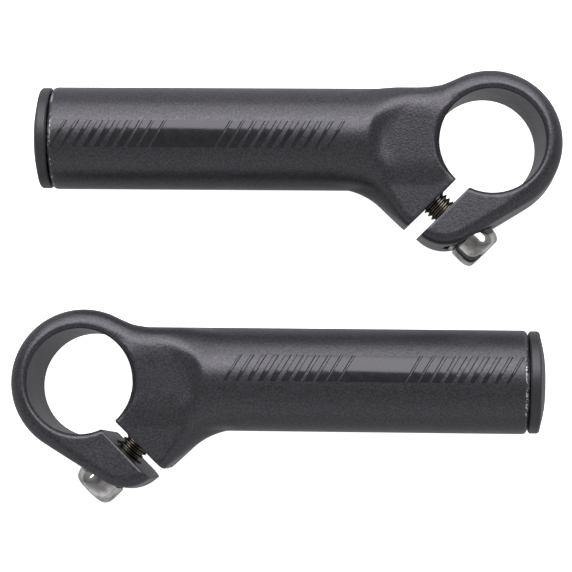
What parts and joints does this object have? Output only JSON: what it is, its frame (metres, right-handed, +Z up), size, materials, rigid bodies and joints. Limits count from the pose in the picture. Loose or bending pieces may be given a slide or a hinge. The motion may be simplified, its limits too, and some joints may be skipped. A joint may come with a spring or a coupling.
{
  "type": "bar end grips",
  "caption": "Left and right short bicycle bar ends: hollow alloy tubes with a slit clamp ring, clamp bolt, washer and push-in end plug.",
  "frame": {"origin": "centre of the pair's footprint, on the surface that the pair lies on", "axes": "+X along the tubes, towards the left bar end's clamp; +Y from the right bar end to the left one; +Z up, along the clamps' widths"},
  "size_m": [0.1164, 0.0928, 0.0222],
  "materials": {
    "forging": "satin black with a fine grain",
    "steel": "polished",
    "plastic": "satin moulded"
  },
  "bodies": {
    "left_body": {"left_body": "forging"},
    "left_clamp_jaw": {"left_clamp_jaw": "forging"},
    "left_washer": {"left_washer": "steel"},
    "left_clamp_bolt": {"left_clamp_bolt": "steel"},
    "left_end_plug": {"left_end_plug": "plastic"},
    "right_body": {"right_body": "forging"},
    "right_clamp_jaw": {"right_clamp_jaw": "forging"},
    "right_washer": {"right_washer": "steel"},
    "right_clamp_bolt": {"right_clamp_bolt": "steel"},
    "right_end_plug": {"right_end_plug": "plastic"}
  },
  "joints": [
    {"name": "left_jaw_flex", "type": "hinge", "parent": "left_body", "child": "left_clamp_jaw", "pos_m": [0.05328, 0.03886, 0.00987], "axis": [-0.1132, 0, -0.9936], "range_deg": [0, 2], "stiffness_Nm_per_rad": 5},
    {"name": "left_bolt_travel", "type": "slide", "parent": "left_body", "child": "left_washer", "axis": [0.7026, -0.7071, -0.08], "range_m": [0, 0.008]},
    {"name": "left_bolt_turn", "type": "hinge", "parent": "left_washer", "child": "left_clamp_bolt", "pos_m": [0.03656, 0.01298, 0.01177], "axis": [0.7026, -0.7071, -0.08], "range_deg": [0, 2900]},
    {"name": "left_plug_pull", "type": "slide", "parent": "left_body", "child": "left_end_plug", "axis": [-1, 0, 0], "range_m": [0, 0.03]},
    {"name": "right_jaw_flex", "type": "hinge", "parent": "right_body", "child": "right_clamp_jaw", "pos_m": [-0.05328, -0.01289, 0.00987], "axis": [-0.1132, 0, 0.9936], "range_deg": [0, 2], "stiffness_Nm_per_rad": 5},
    {"name": "right_bolt_travel", "type": "slide", "parent": "right_body", "child": "right_washer", "axis": [-0.7026, -0.7071, -0.08], "range_m": [0, 0.008]},
    {"name": "right_bolt_turn", "type": "hinge", "parent": "right_washer", "child": "right_clamp_bolt", "pos_m": [-0.03656, -0.03877, 0.01177], "axis": [-0.7026, -0.7071, -0.08], "range_deg": [0, 2900]},
    {"name": "right_plug_pull", "type": "slide", "parent": "right_body", "child": "right_end_plug", "axis": [1, 0, 0], "range_m": [0, 0.03]},
    {"name": "right_lift", "type": "slide", "parent": "left_body", "child": "right_body", "axis": [0, 0, 1], "range_m": [0, 0.1]}
  ],
  "couplings": [
    {"joint": "left_bolt_turn", "follows": "left_bolt_travel", "rad_per_m": 6283.2},
    {"joint": "right_bolt_turn", "follows": "right_bolt_travel", "rad_per_m": 6283.2}
  ]
}
